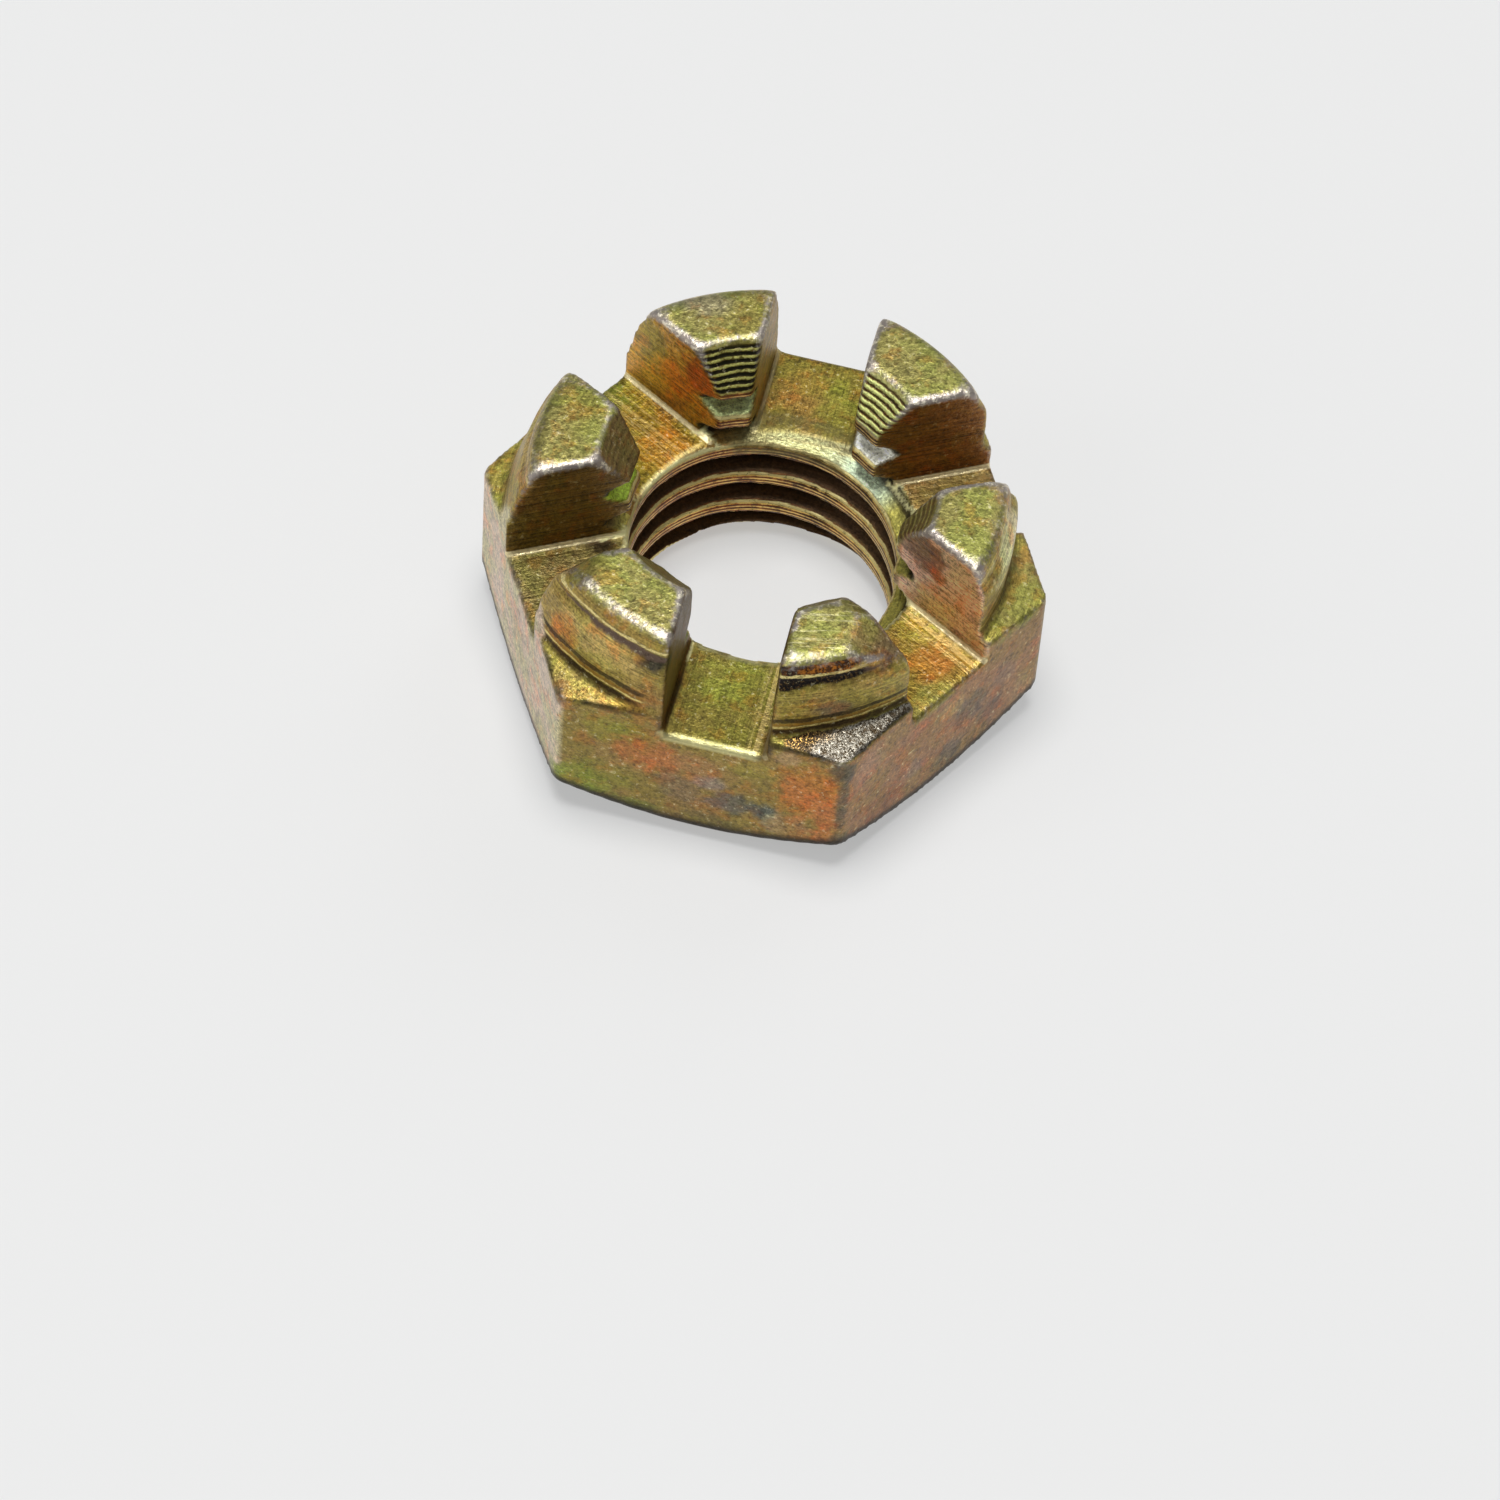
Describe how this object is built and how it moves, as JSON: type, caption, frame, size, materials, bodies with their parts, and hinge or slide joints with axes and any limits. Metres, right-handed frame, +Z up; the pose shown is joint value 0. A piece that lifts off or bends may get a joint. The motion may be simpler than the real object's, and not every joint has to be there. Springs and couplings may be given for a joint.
{
  "type": "castle nut",
  "caption": "Low castle nut: hexagon body with a coned crown cut by cotter-pin slots over a coarse threaded bore.",
  "frame": {"origin": "centre of the flat bearing face, on the thread axis", "axes": "+Z up the thread axis towards the crown, +X through one hexagon corner, -Y square out of one flat"},
  "size_m": [0.0218, 0.019, 0.0106],
  "materials": {
    "yellow_zinc": "yellow passivated zinc on steel, olive, gold and reddish, worn grey on the edges"
  },
  "bodies": {
    "root": {"castle_nut": "yellow_zinc"}
  },
  "joints": []
}
